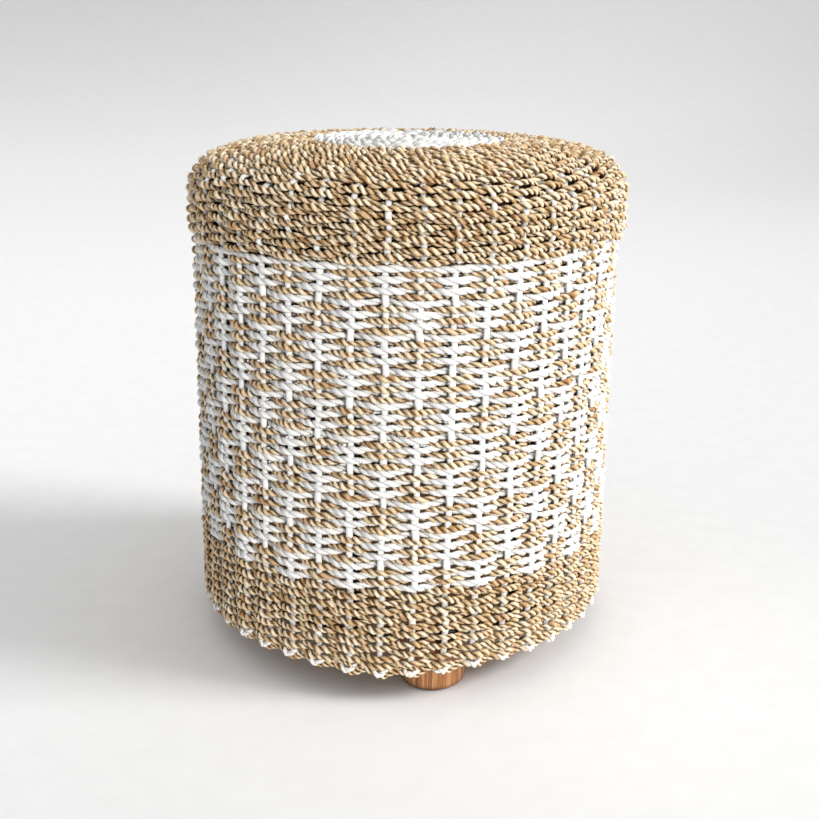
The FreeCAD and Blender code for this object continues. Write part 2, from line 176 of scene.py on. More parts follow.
def along_of(rng, along, wavelength):
    """Smooth noise from -1 to 1 along a rope."""
    length = float(along[-1])
    knots = rng.uniform(-1.0, 1.0, max(4, int(length / wavelength) + 2))
    return np.interp(along, np.linspace(0.0, length, len(knots)), knots)


class Unevenness:
    """Slow waves of a hand-made weave, shared by neighbouring rows so that they stay side by side."""

    def __init__(self, rng, size):
        self.size = size
        self.around = rng.integers(2, 9, 6)
        self.upward = rng.uniform(15.0, 60.0, 6)
        self.phase = rng.uniform(0.0, TURN, 6)

    def at(self, turn, height):
        total = np.zeros_like(turn)
        for around, upward, phase in zip(self.around, self.upward, self.phase):
            total += np.sin(around * turn + upward * height + phase)
        return self.size * total / len(self.phase)


# ---------------------------------------------------------------- outlines

class Outline:
    """A woven surface's section as a line of (radius, height), read by the distance along it."""

    def __init__(self, points, shift=0.0):
        self.points = np.array(points, float)
        self.shift = shift
        steps = np.hypot(*np.diff(self.points, axis=0).T)
        self.along = np.concatenate([[0.0], np.cumsum(steps)])
        self.length = float(self.along[-1])
        tangent = np.gradient(self.points, self.along, axis=0)
        tangent /= np.hypot(tangent[:, 0], tangent[:, 1])[:, None]
        self.normal = np.stack([tangent[:, 1], -tangent[:, 0]], axis=1)

    def inset(self, depth):
        """The same section moved inwards by a depth."""
        moved = self.points - self.normal * depth
        return Outline(moved[moved[:, 0] > 1e-5], self.shift)

    def at(self, along):
        """Radius, height and the normal's two parts at distances along the section."""
        return (np.interp(along, self.along, self.points[:, 0]),
                np.interp(along, self.along, self.points[:, 1]),
                np.interp(along, self.along, self.normal[:, 0]),
                np.interp(along, self.along, self.normal[:, 1]))

    def where_radius(self, radius):
        """Distance along the section where it comes in to a radius."""
        return float(np.interp(-radius, -self.points[:, 0], self.along))


def lid_points():
    """Section of the lid's outer face, from its lower edge to the axis: a skirt and three arcs."""
    points = [(LID_RADIUS, WALL_TOP + step) for step in np.arange(0.0, SKIRT_TOP - WALL_TOP, MM)]
    across, height, begin = LID_RADIUS, SKIRT_TOP, 0.0
    crown_start = (LID_RADIUS - SHOULDER_ARC[0] * (1.0 - math.cos(math.radians(SHOULDER_ARC[1])))
                   - HAUNCH_ARC[0] * (math.cos(math.radians(SHOULDER_ARC[1]))
                                      - math.cos(math.radians(HAUNCH_ARC[1]))))
    crown_arc = (crown_start / math.cos(math.radians(HAUNCH_ARC[1])), 90.0)
    for radius, end in (SHOULDER_ARC, HAUNCH_ARC, crown_arc):
        turns = np.radians(np.linspace(begin, end, 120))
        points += [(across - radius * (math.cos(turns[0]) - math.cos(t)),
                    height + radius * (math.sin(t) - math.sin(turns[0]))) for t in turns[:-1]]
        across -= radius * (math.cos(turns[0]) - math.cos(turns[-1]))
        height += radius * (math.sin(turns[-1]) - math.sin(turns[0]))
        begin = end
    return points


LINE_BASE = HEM_BASE - HEM_SLACK
FLARE = (HEM_RADIUS - WALL_RADIUS) / (WALL_TOP - HEM_BASE)
wall_line = Outline([(WALL_RADIUS + FLARE * (WALL_TOP - height), height)
                     for height in np.linspace(LINE_BASE, WALL_TOP, 40)], WALL_SHIFT).inset(WEAVE_INSET)
lid_line = Outline(lid_points(), LID_SHIFT).inset(WEAVE_INSET)


# ---------------------------------------------------------------- rope meshes

BAKE_EDGE = 0.004                    # share of the bake layout kept free at both ends of a strip
BAKE_MARGIN = 0.08                   # share of a strip kept free along both of its sides


def quad_corners(left, right, low, high):
    """Layout corners of quads, in the order of their vertices."""
    pairs = ((left, low), (left, high), (right, high), (right, low))
    return np.stack([np.stack(pair, axis=-1) for pair in pairs], axis=-2).reshape(-1, 4, 2)


class RopeMesh:
    """One piece made of many rope tubes, with a layout of strips for baking and rope coordinates."""

    def __init__(self, name):
        self.name = name
        self.tubes = []

    def add(self, rings, along, closed):
        """Tube from rings of points (ring, side, xyz); along is the distance of each ring in metres."""
        self.tubes.append((rings, along, closed))

    def strip_length(self):
        """Length of rope in one strip that makes the bake layout about square."""
        area = 0.0
        for rings, along, _ in self.tubes:
            girth = np.linalg.norm(np.roll(rings[0], -1, axis=0) - rings[0], axis=1).sum()
            area += girth * 1.25 * (along[-1] - along[0])
        return math.sqrt(area)

    def build(self, material, body, slot, *nodes):
        """Make the object, and hide the CAD nodes it stands for."""
        strip = self.strip_length()
        points, corners, bake, rope, start, row = [], [], [], [], 0, 0
        for rings, along, closed in self.tubes:
            count, sides, _ = rings.shape
            spans = count if closed else count - 1
            i, j = np.meshgrid(np.arange(spans), np.arange(sides), indexing="ij")
            after, beside = (i + 1) % count, (j + 1) % sides
            quads = np.stack([i * sides + j, i * sides + beside,
                              after * sides + beside, after * sides + j], axis=-1)
            corners.append(quads.reshape(-1, 4) + start)
            strips = max(1, round((along[-1] - along[0]) / strip))
            per_strip = math.ceil(spans / strips)
            local, lane = i % per_strip, row + i // per_strip
            left = np.where(local == 0, BAKE_EDGE, local / per_strip)
            right = np.minimum((local + 1.0) / per_strip, 1.0 - BAKE_EDGE)
            inner = 1.0 - 2.0 * BAKE_MARGIN
            bake.append(quad_corners(left, right, lane + BAKE_MARGIN + inner * j / sides,
                                     lane + BAKE_MARGIN + inner * (j + 1.0) / sides))
            step = along[1] - along[0]
            rope.append(quad_corners(along[i], along[i] + step, j / sides, (j + 1.0) / sides))
            row += strips
            if not closed:
                for ring, order in ((0, -1), (count - 1, 1)):
                    for k in range(1, sides - 2, 2):
                        cap = np.array([0, k, k + 1, k + 2])[::order] + ring * sides + start
                        corners.append(cap[None, :])
                        bake.append(np.array([[[0.0, row], [BAKE_EDGE, row],
                                               [BAKE_EDGE, row + 1], [0.0, row + 1]]]))
                        rope.append(np.full((1, 4, 2), along[ring]))
                row += 1
            points.append(rings.reshape(-1, 3))
            start += count * sides
        bake = np.concatenate(bake).reshape(-1, 2)
        bake[:, 1] /= row
        return make_piece(self.name, np.concatenate(points), np.concatenate(corners), bake,
                          np.concatenate(rope).reshape(-1, 2), material, body, slot, *nodes)


def make_piece(name, points, corners, bake, rope, material, body, slot, *nodes):
    """Smooth mesh object of quads that rides on a body."""
    mesh = bpy.data.meshes.new(name)
    mesh.vertices.add(len(points))
    mesh.vertices.foreach_set("co", points.astype(np.float32).ravel())
    mesh.loops.add(corners.size)
    mesh.loops.foreach_set("vertex_index", corners.astype(np.int32).ravel())
    mesh.polygons.add(len(corners))
    mesh.polygons.foreach_set("loop_start", np.arange(0, corners.size, 4, dtype=np.int32))
    mesh.update(calc_edges=True)
    for layer, values in (("OFBake", bake), ("Rope", rope)):
        mesh.uv_layers.new(name=layer)
        mesh.uv_layers[layer].data.foreach_set("uv", values.astype(np.float32).ravel())
    mesh.polygons.foreach_set("use_smooth", np.ones(len(corners), bool))
    mesh.materials.append(material)
    piece = bpy.data.objects.new(name, mesh)
    bpy.context.scene.collection.objects.link(piece)
    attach(piece, body)
    if nodes:
        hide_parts(*nodes)
    return piece


def unit(vectors):
    """Vectors made one metre long."""
    return vectors / np.linalg.norm(vectors, axis=-1, keepdims=True)


def directions(centre, outward, closed):
    """Outward and sideways unit vectors along a rope's line, both square to it."""
    if closed:
        tangent = unit(np.roll(centre, -1, axis=0) - np.roll(centre, 1, axis=0))
    else:
        tangent = unit(np.gradient(centre, axis=0))
    outward = unit(outward - (outward * tangent).sum(-1, keepdims=True) * tangent)
    return outward, np.cross(tangent, outward)


def distance_along(centre):
    """Distance of each point from the first one along a line."""
    return np.concatenate([[0.0], np.cumsum(np.linalg.norm(np.diff(centre, axis=0), axis=1))])


def rounded_ends(count, tip):
    """Share of the full thickness at each ring of an open rope; tip is the share at its ends."""
    share = np.ones(count)
    share[[0, -1]] = tip
    share[[1, -2]] = 0.85
    return share


def add_rope(mesh, centre, outward, kind, turns, rng, over=0.0, closed=True):
    """Rope of two plies twisted right-handed about a line; over is 1 on top of a stake, -1 behind."""
    outward, sideways = directions(centre, outward, closed)
    closing = 1.0 if closed else rounded_ends(len(centre), 0.45)
    along = distance_along(centre)
    turn = TURN * np.arange(len(centre)) / len(centre)
    knots = max(8, int(along[-1] / (15.0 * MM)))
    twist = rng.uniform(0.0, TURN) + turns * turn
    twist += kind.loose * rings_of(rng.uniform(-1.0, 1.0, knots // 2), turn)
    twist += 0.3 * kind.loose * rings_of(rng.uniform(-1.0, 1.0, knots * 3 // 2), turn)
    section = math.pi + TURN * np.arange(kind.sides) / kind.sides
    for ply in range(kind.plies):
        angle = twist + TURN * ply / kind.plies
        across = np.cos(angle)[:, None] * outward + np.sin(angle)[:, None] * sideways
        beside = np.cos(angle)[:, None] * sideways - np.sin(angle)[:, None] * outward
        swell = 1.0 + kind.uneven * rings_of(rng.uniform(-1.0, 1.0, knots * 3 // 2), turn)
        swell = (closing * swell * (1.0 + kind.pinch * over) * (1.0 + kind.belly * np.cos(angle)))[:, None]
        middle = centre + across * kind.reach * swell
        rings = (middle[:, None, :]
                 + np.cos(section)[None, :, None] * (across * kind.ply_radius * swell)[:, None, :]
                 + np.sin(section)[None, :, None]
                 * (beside * kind.ply_radius * kind.flatten * swell)[:, None, :])
        mesh.add(rings, along + rng.uniform(0.0, 40.0), closed)


def add_bar(mesh, centre, outward, half_width, half_depth, rng, sides=8):
    """Untwisted soft rope of oval section with rounded ends."""
    outward, sideways = directions(centre, outward, False)
    along = distance_along(centre)
    section = math.pi + TURN * np.arange(sides) / sides
    swell = rounded_ends(len(centre), 0.4) * (1.0 + 0.16 * along_of(rng, along, 9.0 * MM))
    swell = swell[:, None]
    rings = (centre[:, None, :]
             + np.cos(section)[None, :, None] * (outward * half_depth * swell)[:, None, :]
             + np.sin(section)[None, :, None] * (sideways * half_width * swell)[:, None, :])
    mesh.add(rings, along + rng.uniform(0.0, 40.0), False)


def on_surface(line, turn, along, out):
    """Points at an angle from the front, a distance along an outline and a height off it."""
    radius, height, normal_out, normal_up = line.at(along)
    reach = radius + normal_out * out
    shift = line.shift * np.clip(height / WALL_TOP, 0.0, 1.0)
    return np.stack([reach * np.sin(turn) + shift, -reach * np.cos(turn), height + normal_up * out],
                    axis=-1)


def surface_normal(line, turn, along):
    """Outward unit vectors of a woven surface."""
    _, _, normal_out, normal_up = line.at(along)
    return np.stack([normal_out * np.sin(turn), -normal_out * np.cos(turn), normal_up + 0.0 * turn],
                    axis=-1)


def wall_along(height):
    """Distance along the wall's outline of a height."""
    return (height - LINE_BASE) / (WALL_TOP - LINE_BASE) * wall_line.length


def sag(turn, height):
    """How far the weave hangs down at an angle and height near the hem."""
    off = (turn - SAG_CENTRE + math.pi) % TURN - math.pi
    return SAG * np.exp(-(off / SAG_WIDTH) ** 2) * np.exp(-(height - HEM_BASE) / SAG_REACH)


def stake_turn(line, along, number, count=STAKE_COUNT):
    """Angle of a stake at a distance along an outline; wall stakes lean."""
    lean = STAKE_LEAN * (1.0 - along / line.length) if line is wall_line else 0.0
    return FIRST_STAKE + lean + TURN * number / count


def add_weft(mesh, line, along, over, kind, rng, waves, count=STAKE_COUNT, rise=OVER, dive=UNDER,
             wander=WEFT_WANDER, lift=0.0):
    """One closed row of weft: over is 0 if it passes over the even stakes, 1 over the odd ones; it stands
    out by rise over a stake, sinks by dive behind one, and lift moves all of it outwards."""
    radius = float(line.at(along)[0])
    spacing = TURN * radius / count
    flatten = min(1.0, max(0.4, spacing / WIDE_SPACING))
    rise, dive = rise * flatten, dive * flatten
    wave = 0.5 * (rise + dive) * math.pi / spacing
    length = TURN * radius * (1.0 + wave * wave / 4.0)
    turns = max(2, round(length / kind.pitch * rng.uniform(0.9, 1.12)))
    steps = turns * kind.steps_per_turn
    turn = TURN * np.arange(steps) / steps
    place = along + waves.at(turn, along) + wander * rings_of(rng.uniform(-1, 1, count), turn)
    if line is wall_line:
        place -= sag(turn, along + LINE_BASE)
    place = np.clip(place, 0.0, line.length)
    crossing = np.cos(count / 2 * (turn - stake_turn(line, along, over, count)))
    height = np.where(crossing > 0.0, rise, dive) * (1.0 + 0.15 * rings_of(rng.uniform(-1, 1, count), turn))
    centre = on_surface(line, turn, place, height * crossing + lift)
    add_rope(mesh, centre, surface_normal(line, turn, place), kind, turns, rng, crossing)


def add_stake(mesh, line, begin, end, number, rng, count=STAKE_COUNT, half_width=STAKE_HALF_WIDTH,
              hide=0.0, hide_to=1.0, rows=None):
    """One upright rope along an outline. Up to the distance hide_to it slips in here and there by hide,
    and bends outwards between the rows; rows holds the first row's distance and the rows' spacing."""
    steps = max(4, int((end - begin) / (1.8 * MM if rows else 2.4 * MM)))
    along = np.linspace(begin, end, steps)
    turn = stake_turn(line, along, number, count)
    sway = 1.1 * MM * along_of(rng, along, 16.0 * MM) / np.maximum(line.at(along)[0], 20.0 * MM)
    spacing = TURN * line.at(along)[0] / count
    sink = STAKE_SINK * np.clip(1.0 - spacing / WIDE_SPACING, 0.0, 0.5)
    share = np.clip((hide_to - along) / (5.0 * MM), 0.0, 1.0)
    sink = sink + hide * share * (0.9 + 1.1 * along_of(rng, along, 12.0 * MM))
    if rows:
        first, spacing = rows
        sink = sink - STAKE_RIPPLE * share * np.cos(math.pi * ((along - first) / spacing + number))
    centre = on_surface(line, turn + sway, along, STAKE_OUT - sink)
    add_bar(mesh, centre, surface_normal(line, turn, along), half_width, STAKE_HALF_DEPTH, rng)


# ---------------------------------------------------------------- materials

def colour(red, green, blue):
    """Linear colour from ordinary 0 to 255 values."""
    def linear(level):
        share = level / 255.0
        return share / 12.92 if share <= 0.04045 else ((share + 0.055) / 1.055) ** 2.4
    return (linear(red), linear(green), linear(blue), 1.0)


class Finish:
    """Builder of one node material."""

    def __init__(self, name, roughness, specular=0.5, metallic=0.0):
        self.material = bpy.data.materials.new(name)
        self.material.use_nodes = True
        self.tree = self.material.node_tree
        self.shader = self.tree.nodes["Principled BSDF"]
        self.shader.inputs["Roughness"].default_value = roughness
        self.shader.inputs["Specular IOR Level"].default_value = specular
        self.shader.inputs["Metallic"].default_value = metallic

    def node(self, kind, **values):
        made = self.tree.nodes.new(kind)
        for name, value in values.items():
            setattr(made, name, value)
        return made

    def link(self, source, target):
        self.tree.links.new(source, target)

    def place(self, layer=None, scale=(1.0, 1.0, 1.0)):
        """Rope coordinates of a layer, or object coordinates, with a scale along each axis."""
        if layer:
            source = self.node("ShaderNodeUVMap", uv_map=layer).outputs["UV"]
        else:
            source = self.node("ShaderNodeTexCoord").outputs["Object"]
        mapping = self.node("ShaderNodeMapping")
        mapping.inputs["Scale"].default_value = scale
        self.link(source, mapping.inputs["Vector"])
        return mapping.outputs["Vector"]

    def noise(self, vector, scale=1.0, detail=3.0, roughness=0.5, distortion=0.0):
        """Fine or coarse noise, 0 to 1."""
        made = self.node("ShaderNodeTexNoise")
        made.inputs["Scale"].default_value = scale
        made.inputs["Detail"].default_value = detail
        made.inputs["Roughness"].default_value = roughness
        made.inputs["Distortion"].default_value = distortion
        self.link(vector, made.inputs["Vector"])
        return made.outputs["Fac"]

    def ramp(self, factor, stops):
        """Colour ramp with (position, colour) stops."""
        made = self.node("ShaderNodeValToRGB")
        ramp = made.color_ramp
        while len(ramp.elements) < len(stops):
            ramp.elements.new(0.5)
        for element, (position, value) in zip(ramp.elements, stops):
            element.position = position
            element.color = value
        self.link(factor, made.inputs["Fac"])
        return made.outputs["Color"]

    def mix(self, factor, first, second, blend="MIX"):
        """Mix of two colours; each may be an output or a colour, and the factor an output or number."""
        made = self.node("ShaderNodeMix", data_type="RGBA", blend_type=blend)
        for value, socket in ((factor, made.inputs[0]), (first, made.inputs[6]), (second, made.inputs[7])):
            if isinstance(value, bpy.types.NodeSocket):
                self.link(value, socket)
            else:
                socket.default_value = value
        return made.outputs[2]

    def span(self, value, low, high, to_low=0.0, to_high=1.0):
        """Value mapped from one range to another and clamped."""
        made = self.node("ShaderNodeMapRange")
        limits = {"From Min": low, "From Max": high, "To Min": to_low, "To Max": to_high}
        for name, number in limits.items():
            made.inputs[name].default_value = number
        self.link(value, made.inputs["Value"])
        return made.outputs["Result"]

    def math(self, operation, *values):
        """Result of a maths node; each value may be an output or a number."""
        made = self.node("ShaderNodeMath", operation=operation)
        for value, socket in zip(values, made.inputs):
            if isinstance(value, bpy.types.NodeSocket):
                self.link(value, socket)
            else:
                socket.default_value = value
        return made.outputs[0]

    def part(self, vector, name):
        """One of the three parts of a vector: X, Y or Z."""
        made = self.node("ShaderNodeSeparateXYZ")
        self.link(vector, made.inputs["Vector"])
        return made.outputs[name]

    def times(self, base, share):
        """A colour made darker or lighter by the same share in each channel."""
        grey = self.node("ShaderNodeCombineColor")
        for socket in grey.inputs:
            self.link(share, socket)
        return self.mix(1.0, base, grey.outputs[0], "MULTIPLY")

    def bump(self, height, distance, strength=1.0):
        """Bump from a height."""
        made = self.node("ShaderNodeBump")
        made.inputs["Distance"].default_value = distance
        made.inputs["Strength"].default_value = strength
        self.link(height, made.inputs["Height"])
        return made.outputs["Normal"]

    def done(self, base, normal=None, roughness=None):
        """Connect colour, bump and roughness."""
        self.link(base, self.shader.inputs["Base Color"])
        if normal is not None:
            self.link(normal, self.shader.inputs["Normal"])
        if roughness is not None:
            self.link(roughness, self.shader.inputs["Roughness"])
        return self.material


def ply_cover(finish):
    """0 on the outer side of a ply, 0.5 deep in the crease against the other ply, where the materials paint
    shade.
    """
    around = finish.part(finish.place("Rope"), "Y")
    return finish.math("ABSOLUTE", finish.math("SUBTRACT", around, 0.5))


def seagrass_material():
    """Dried seagrass: every ply wanders between straw, tan, olive and brown, with fine fibres along it, and
    painted shade darkens the crease between its two plies.
    """
    finish = Finish("seagrass", 0.55, 0.35)
    tone = finish.noise(finish.place("Rope", (95.0, 0.9, 1.0)), detail=2.0, roughness=0.6)
    base = finish.ramp(tone, ((0.26, colour(160, 112, 62)), (0.40, colour(214, 180, 134)),
                              (0.51, colour(236, 214, 179)), (0.64, colour(245, 233, 208))))
    hue = finish.noise(finish.place("Rope", (31.0, 0.4, 1.0)), detail=1.0)
    olive = finish.span(hue, 0.58, 0.72, 0.0, 0.45)
    base = finish.mix(olive, base, colour(176, 158, 96))
    pink = finish.span(hue, 0.40, 0.28, 0.0, 0.35)
    base = finish.mix(pink, base, colour(206, 150, 118))
    fibre = finish.noise(finish.place("Rope", (140.0, 16.0, 1.0)), detail=4.0, roughness=0.65)
    base = finish.times(base, finish.span(fibre, 0.3, 0.75, 0.80, 1.12))
    # painted shade: darker brown deep in the crease between the two plies
    painted_crease_shade = finish.span(ply_cover(finish), 0.14, 0.32, 0.0, 0.92)
    base = finish.mix(painted_crease_shade, base, colour(88, 51, 16))
    return finish.done(base, finish.bump(fibre, 0.35 * MM, 0.7))


def white_rope_material():
    """White painted rope: cool white with faint grey scuffs, and painted shade in the crease between its
    plies.
    """
    finish = Finish("white_rope", 0.62, 0.35)
    tone = finish.noise(finish.place("Rope", (60.0, 1.2, 1.0)), detail=3.0)
    base = finish.ramp(tone, ((0.30, colour(226, 227, 230)), (0.50, colour(237, 237, 236)),
                              (0.70, colour(244, 243, 240))))
    fibre = finish.noise(finish.place("Rope", (120.0, 12.0, 1.0)), detail=4.0, roughness=0.6)
    scuff = finish.span(fibre, 0.62, 0.78, 0.0, 0.35)
    base = finish.mix(scuff, base, colour(196, 194, 196))
    # painted shade: grey deep in the crease between the two plies
    painted_crease_shade = finish.span(ply_cover(finish), 0.26, 0.42, 0.0, 0.8)
    base = finish.mix(painted_crease_shade, base, colour(146, 146, 153))
    return finish.done(base, finish.bump(fibre, 0.3 * MM, 0.6))


def teak_material():
    """Oiled teak with upright grain, and painted shade along its lowest few millimetres."""
    finish = Finish("teak", 0.42, 0.45)
    grain = finish.noise(finish.place(None, (420.0, 420.0, 14.0)), detail=5.0, roughness=0.65)
    base = finish.ramp(grain, ((0.32, colour(82, 45, 23)), (0.49, colour(148, 97, 57)),
                               (0.66, colour(208, 160, 112))))
    broad = finish.noise(finish.place(None, (60.0, 60.0, 4.0)), detail=2.0)
    base = finish.mix(finish.span(broad, 0.4, 0.65, 0.0, 0.4), base, colour(174, 118, 71))
    pores = finish.noise(finish.place(None, (900.0, 900.0, 40.0)), detail=2.0)
    base = finish.mix(finish.span(pores, 0.62, 0.72, 0.0, 0.55), base, colour(84, 42, 20))
    # painted shade: darker over the lowest 5.5 mm, at the rounded lower edge towards the floor
    painted_bottom_shade = finish.span(finish.part(finish.place(), "Z"), 5.5 * MM, 1.0 * MM, 0.0, 0.8)
    base = finish.mix(painted_bottom_shade, base, colour(62, 33, 18))
    return finish.done(base, finish.bump(pores, 0.1 * MM, 0.4))


def plywood_material():
    """Sanded plywood: pale face grain, and darker plies on its edge."""
    finish = Finish("plywood", 0.6, 0.35)
    grain = finish.noise(finish.place(None, (14.0, 160.0, 160.0)), detail=5.0, roughness=0.6,
                         distortion=0.4)
    base = finish.ramp(grain, ((0.30, colour(176, 134, 88)), (0.5, colour(206, 168, 118)),
                               (0.7, colour(226, 194, 148))))
    plies = finish.node("ShaderNodeTexWave", wave_type="BANDS", bands_direction="Z")
    plies.inputs["Scale"].default_value = 130.0
    plies.inputs["Distortion"].default_value = 0.6
    finish.link(finish.place(), plies.inputs["Vector"])
    normal = finish.node("ShaderNodeNewGeometry").outputs["Normal"]
    edge = finish.span(finish.math("ABSOLUTE", finish.part(normal, "Z")), 0.7, 0.2, 0.0, 0.7)
    layered = finish.mix(finish.span(plies.outputs["Fac"], 0.4, 0.6), base, colour(142, 98, 60))
    base = finish.mix(edge, base, layered)
    return finish.done(base, finish.bump(grain, 0.1 * MM, 0.4))


def coated_steel_material():
    """Black powder coat with a fine orange-peel texture."""
    finish = Finish("black_powder_coat", 0.45, 0.5)
    speckle = finish.noise(finish.place(), 1400.0, 2.0)
    base = finish.ramp(speckle, ((0.35, colour(22, 22, 23)), (0.65, colour(40, 40, 42))))
    rough = finish.span(finish.noise(finish.place(), 300.0, 3.0), 0.3, 0.7, 0.38, 0.55)
    return finish.done(base, finish.bump(speckle, 0.05 * MM, 0.5), rough)


def zinc_material():
    """Zinc-plated screws and bolts."""
    finish = Finish("zinc_plate", 0.35, 0.5, 1.0)
    cloud = finish.noise(finish.place(), 500.0, 4.0)
    base = finish.ramp(cloud, ((0.35, colour(165, 166, 162)), (0.65, colour(205, 205, 198))))
    return finish.done(base, finish.bump(cloud, 0.03 * MM, 0.3), finish.span(cloud, 0.3, 0.7, 0.28, 0.48))


def cover_material():
    """Dark brown plain-weave cotton over the seat pad."""
    finish = Finish("pad_cotton", 0.9, 0.2)
    across = finish.node("ShaderNodeTexWave", wave_type="BANDS", bands_direction="X")
    along = finish.node("ShaderNodeTexWave", wave_type="BANDS", bands_direction="Y")
    for wave in (across, along):
        wave.inputs["Scale"].default_value = 260.0
        wave.inputs["Distortion"].default_value = 0.8
        finish.link(finish.place(), wave.inputs["Vector"])
    threads = finish.math("MULTIPLY", across.outputs["Fac"], along.outputs["Fac"])
    base = finish.ramp(threads, ((0.1, colour(46, 30, 14)), (0.8, colour(80, 54, 28))))
    return finish.done(base, finish.bump(threads, 0.2 * MM, 0.6))


def foam_material():
    """Open-cell seat foam."""
    finish = Finish("seat_foam", 0.95, 0.1)
    cells = finish.node("ShaderNodeTexVoronoi")
    cells.inputs["Scale"].default_value = 700.0
    finish.link(finish.place(), cells.inputs["Vector"])
    depth = cells.outputs["Distance"]
    base = finish.ramp(depth, ((0.1, colour(196, 184, 142)), (0.6, colour(226, 216, 178))))
    return finish.done(base, finish.bump(depth, 0.5 * MM, 0.6))


def floor_material():
    """Plain pale studio paper with painted shade: darker towards the back, the left, the very front and up
    the cove's wall.
    """
    finish = Finish("studio_paper", 0.9, 0.1)
    tooth = finish.noise(finish.place(), 40.0, 2.0)
    base = finish.ramp(tooth, ((0.3, colour(242, 242, 242)), (0.7, colour(245, 245, 245))))
    x, y, z = (finish.part(finish.place(), name) for name in "XYZ")
    # painted shade: the light falling off across the floor, darker to the left and towards the back
    across = finish.span(x, -4.0, 4.0, 0.125, -0.125)
    back = finish.span(y, 0.0, 8.0)
    shade = finish.ramp(finish.math("ADD", across, back), ((0.18, (1.0, 1.0, 1.0, 1.0)),
                                                           (0.50, (0.90, 0.90, 0.90, 1.0)),
                                                           (0.70, (0.71, 0.71, 0.71, 1.0))))
    base = finish.mix(1.0, base, shade, "MULTIPLY")
    # more painted shade: at the very front, to the left of the object and up the cove's wall
    base = finish.times(base, finish.span(y, -0.50, -0.05, 0.875, 1.0))
    base = finish.times(base, finish.span(x, -0.9, 0.2, 0.955, 1.0))
    base = finish.times(base, finish.span(z, 1.0, 3.1, 1.0, 0.75))
    return finish.done(base)


seagrass = seagrass_material()
white_rope = white_rope_material()

# ---------------------------------------------------------------- woven wall


def chequer_rows():
    """Rows of the chequered wall from the rim down: how far below it, is it white, stakes it covers."""
    pitch = (WALL_TOP - BAND_TOP + 1.0 * MM - (CHEQUER_ROWS // BLOCK_ROWS) * BLOCK_GAP) / CHEQUER_ROWS
    for row in range(CHEQUER_ROWS):
        block = row // BLOCK_ROWS
        below = (row + 0.5) * pitch + block * BLOCK_GAP - 1.0 * MM
        white = row % 2 == 0
        yield below, white, (block + (0 if white else 1)) % 2


def weave_wall():
    """Chequered wall, plain bottom band and the stakes that run through both."""
    rng = np.random.default_rng(SEED)
    waves = Unevenness(rng, 1.3 * MM)
    rows = list(chequer_rows())
    for first in range(0, len(rows), ROWS_PER_PIECE):
        natural = RopeMesh(f"chequer_seagrass_{first // ROWS_PER_PIECE + 1}")
        pale = RopeMesh(f"chequer_white_{first // ROWS_PER_PIECE + 1}")
        for number, (below, white, over) in enumerate(rows[first:first + ROWS_PER_PIECE], first):
            along = wall_along(WALL_TOP - below)
            if number == 0:
                add_weft(pale, wall_line, along, over, WHITE, rng, waves, rise=FIRST_ROW_WAVE,
                         dive=FIRST_ROW_WAVE, lift=FIRST_ROW_LIFT)
            elif white:
                add_weft(pale, wall_line, along, over, WHITE, rng, waves)
            else:
                add_weft(natural, wall_line, along, over, CHEQUER_SEAGRASS, rng, waves, rise=CHEQUER_RISE)
        natural.build(seagrass, "base", "seagrass_natural", "chequered_wall")
        pale.build(white_rope, "base", "seagrass_white")
    pitch = (BAND_TOP - BAND_BOTTOM) / BAND_ROWS
    for first in range(0, BAND_ROWS, BAND_ROWS_PER_PIECE):
        band = RopeMesh(f"bottom_band_seagrass_{first // BAND_ROWS_PER_PIECE + 1}")
        for row in range(first, min(first + BAND_ROWS_PER_PIECE, BAND_ROWS)):
            along = wall_along(BAND_TOP - (row + 0.5) * pitch)
            add_weft(band, wall_line, along, row % 2, BAND_SEAGRASS, rng, waves, wander=BAND_WANDER)
        band.build(seagrass, "base", "seagrass_natural", *(["bottom_band"] if first == 0 else []))
    stakes = RopeMesh("wall_stakes")
    band_rows = (wall_along(BAND_TOP - 1.5 * pitch), wall_along(BAND_TOP) - wall_along(BAND_TOP - pitch))
    for number in range(STAKE_COUNT):
        add_stake(stakes, wall_line, wall_along(HEM_BASE + 4.0 * MM), wall_line.length - 1.0 * MM, number,
                  rng, hide=BAND_STAKE_HIDE, hide_to=wall_along(BAND_TOP), rows=band_rows)
    stakes.build(white_rope, "base", "seagrass_white")


